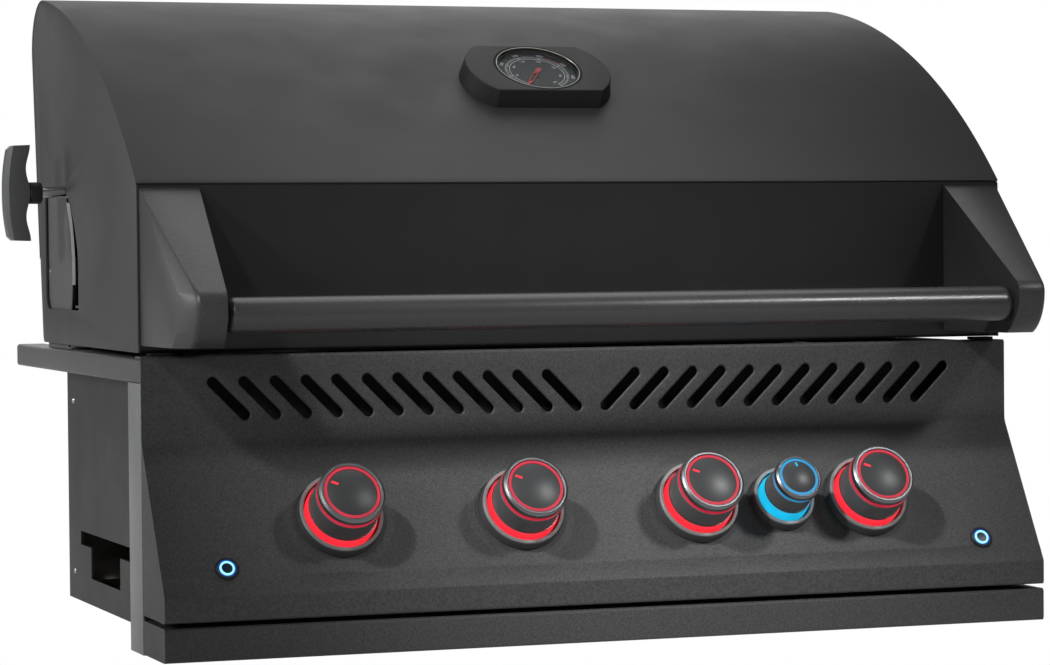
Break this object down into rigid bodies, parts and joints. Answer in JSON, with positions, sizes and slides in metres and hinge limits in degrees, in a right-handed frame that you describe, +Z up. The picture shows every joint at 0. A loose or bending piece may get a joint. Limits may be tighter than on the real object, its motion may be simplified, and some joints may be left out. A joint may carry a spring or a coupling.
{
  "type": "built-in gas grill",
  "caption": "Built-in gas grill head with a curved roll-top lid, bar handle, vented sloping control panel with lit knobs, drip-tray drawer and a rotating spit",
  "frame": {"origin": "on the counter top plane, which the undersides of the side flanges rest on, midway between the flanges, at the back faces of the two front legs", "axes": "+X to the right seen from the front, +Y to the back, +Z up"},
  "size_m": [0.8698, 0.6401, 0.5791],
  "materials": {
    "satin_charcoal": "satin charcoal enamel",
    "dark_panel": "satin dark enamel",
    "texture_coat": "fine textured powder coat",
    "cast_coat": "cast, charcoal coated",
    "trim_coat": "satin grey enamel",
    "stainless": "brushed",
    "cast_iron": "matte enamel",
    "black_plastic": "matte",
    "knob_plastic": "satin",
    "bezel_metal": "satin",
    "clear_glass": "clear",
    "needle_red": "matte red",
    "chrome": "polished",
    "brass": "plain",
    "rubber": "matte",
    "ceramic": "matte perforated tile"
  },
  "bodies": {
    "base": {"control_panel": "texture_coat", "ignition_module": "black_plastic", "gas_manifold": "brass", "firebox_side_right": "stainless", "firebox_side_left": "stainless", "firebox_front": "dark_panel", "firebox_rear": "stainless", "hinge_plate_right": "trim_coat", "hinge_plate_left": "trim_coat", "side_trim_right": "trim_coat", "side_trim_left": "trim_coat", "cooking_grid_right": "cast_iron", "cooking_grid_left": "cast_iron", "warming_rack": "stainless", "rear_burner": "ceramic", "lid_bumper_right": "rubber", "lid_bumper_left": "rubber", "burner_1": "stainless", "sear_plate_1": "stainless", "burner_2": "stainless", "sear_plate_2": "stainless", "burner_3": "stainless", "sear_plate_3": "stainless", "burner_4": "stainless", "sear_plate_4": "stainless", "knob_bezel_1": "bezel_metal", "knob_bezel_2": "bezel_metal", "knob_bezel_3": "bezel_metal", "knob_bezel_4": "bezel_metal", "knob_bezel_5": "bezel_metal"},
    "lid": {"hood_skin": "satin_charcoal", "hood_front_panel": "dark_panel", "hood_end_left": "satin_charcoal", "hood_end_right": "satin_charcoal", "hinge_arm_left": "stainless", "hinge_arm_right": "stainless", "handle_bar": "cast_coat", "handle_bracket_left": "cast_coat", "handle_bracket_right": "cast_coat", "thermometer_bezel": "black_plastic", "thermometer_body": "stainless", "thermometer_glass": "clear_glass"},
    "needle": {"thermometer_needle": "needle_red"},
    "spit": {"spit_rod": "chrome", "spit_bushing": "black_plastic", "spit_grip": "knob_plastic"},
    "drawer": {"drawer_front": "texture_coat", "drip_tray": "stainless"},
    "button_left": {"push_button_left": "black_plastic"},
    "button_right": {"push_button_right": "black_plastic"},
    "stem_1": {"valve_stem_1": "brass"},
    "knob_1": {"burner_knob_1": "knob_plastic"},
    "stem_2": {"valve_stem_2": "brass"},
    "knob_2": {"burner_knob_2": "knob_plastic"},
    "stem_3": {"valve_stem_3": "brass"},
    "knob_3": {"burner_knob_3": "knob_plastic"},
    "stem_4": {"valve_stem_4": "brass"},
    "knob_4": {"burner_knob_4": "knob_plastic"},
    "stem_5": {"valve_stem_5": "brass"},
    "knob_5": {"burner_knob_5": "knob_plastic"}
  },
  "joints": [
    {"name": "lid_hinge", "type": "hinge", "parent": "base", "child": "lid", "pos_m": [0, 0.33215, 0.092], "axis": [-1, 0, 0], "range_deg": [0, 54]},
    {"name": "needle_turn", "type": "hinge", "parent": "lid", "child": "needle", "pos_m": [-0.005, 0.07705, 0.26095], "axis": [0, 0.518, -0.8554], "range_deg": [0, 270], "stiffness_Nm_per_rad": 0.003, "springref_deg": -5.73},
    {"name": "spit_turn", "type": "hinge", "parent": "base", "child": "spit", "pos_m": [0, 0.24515, 0.1657], "axis": [-1, 0, 0], "continuous": true},
    {"name": "drip_tray_slide", "type": "slide", "parent": "base", "child": "drawer", "axis": [0, -1, 0], "range_m": [0, 0.33]},
    {"name": "button_left_push", "type": "slide", "parent": "base", "child": "button_left", "axis": [0, 0.8562, -0.5166], "range_m": [0, 0.0015], "stiffness_N_per_m": 400, "springref_m": -0.002},
    {"name": "button_right_push", "type": "slide", "parent": "base", "child": "button_right", "axis": [0, 0.8562, -0.5166], "range_m": [0, 0.0015], "stiffness_N_per_m": 400, "springref_m": -0.002},
    {"name": "knob_1_push", "type": "slide", "parent": "base", "child": "stem_1", "axis": [0, 0.8562, -0.5166], "range_m": [0, 0.003], "stiffness_N_per_m": 800, "springref_m": -0.004},
    {"name": "knob_1_turn", "type": "hinge", "parent": "stem_1", "child": "knob_1", "pos_m": [-0.2454, -0.08926, -0.11557], "axis": [0, -0.8562, 0.5166], "range_deg": [-75, 130]},
    {"name": "knob_2_push", "type": "slide", "parent": "base", "child": "stem_2", "axis": [0, 0.8562, -0.5166], "range_m": [0, 0.003], "stiffness_N_per_m": 800, "springref_m": -0.004},
    {"name": "knob_2_turn", "type": "hinge", "parent": "stem_2", "child": "knob_2", "pos_m": [-0.0818, -0.08926, -0.11557], "axis": [0, -0.8562, 0.5166], "range_deg": [-75, 130]},
    {"name": "knob_3_push", "type": "slide", "parent": "base", "child": "stem_3", "axis": [0, 0.8562, -0.5166], "range_m": [0, 0.003], "stiffness_N_per_m": 800, "springref_m": -0.004},
    {"name": "knob_3_turn", "type": "hinge", "parent": "stem_3", "child": "knob_3", "pos_m": [0.0818, -0.08926, -0.11557], "axis": [0, -0.8562, 0.5166], "range_deg": [-75, 130]},
    {"name": "knob_4_push", "type": "slide", "parent": "base", "child": "stem_4", "axis": [0, 0.8562, -0.5166], "range_m": [0, 0.003], "stiffness_N_per_m": 800, "springref_m": -0.004},
    {"name": "knob_4_turn", "type": "hinge", "parent": "stem_4", "child": "knob_4", "pos_m": [0.1636, -0.08926, -0.11557], "axis": [0, -0.8562, 0.5166], "range_deg": [0, 90]},
    {"name": "knob_5_push", "type": "slide", "parent": "base", "child": "stem_5", "axis": [0, 0.8562, -0.5166], "range_m": [0, 0.003], "stiffness_N_per_m": 800, "springref_m": -0.004},
    {"name": "knob_5_turn", "type": "hinge", "parent": "stem_5", "child": "knob_5", "pos_m": [0.2454, -0.08926, -0.11557], "axis": [0, -0.8562, 0.5166], "range_deg": [-75, 130]}
  ]
}
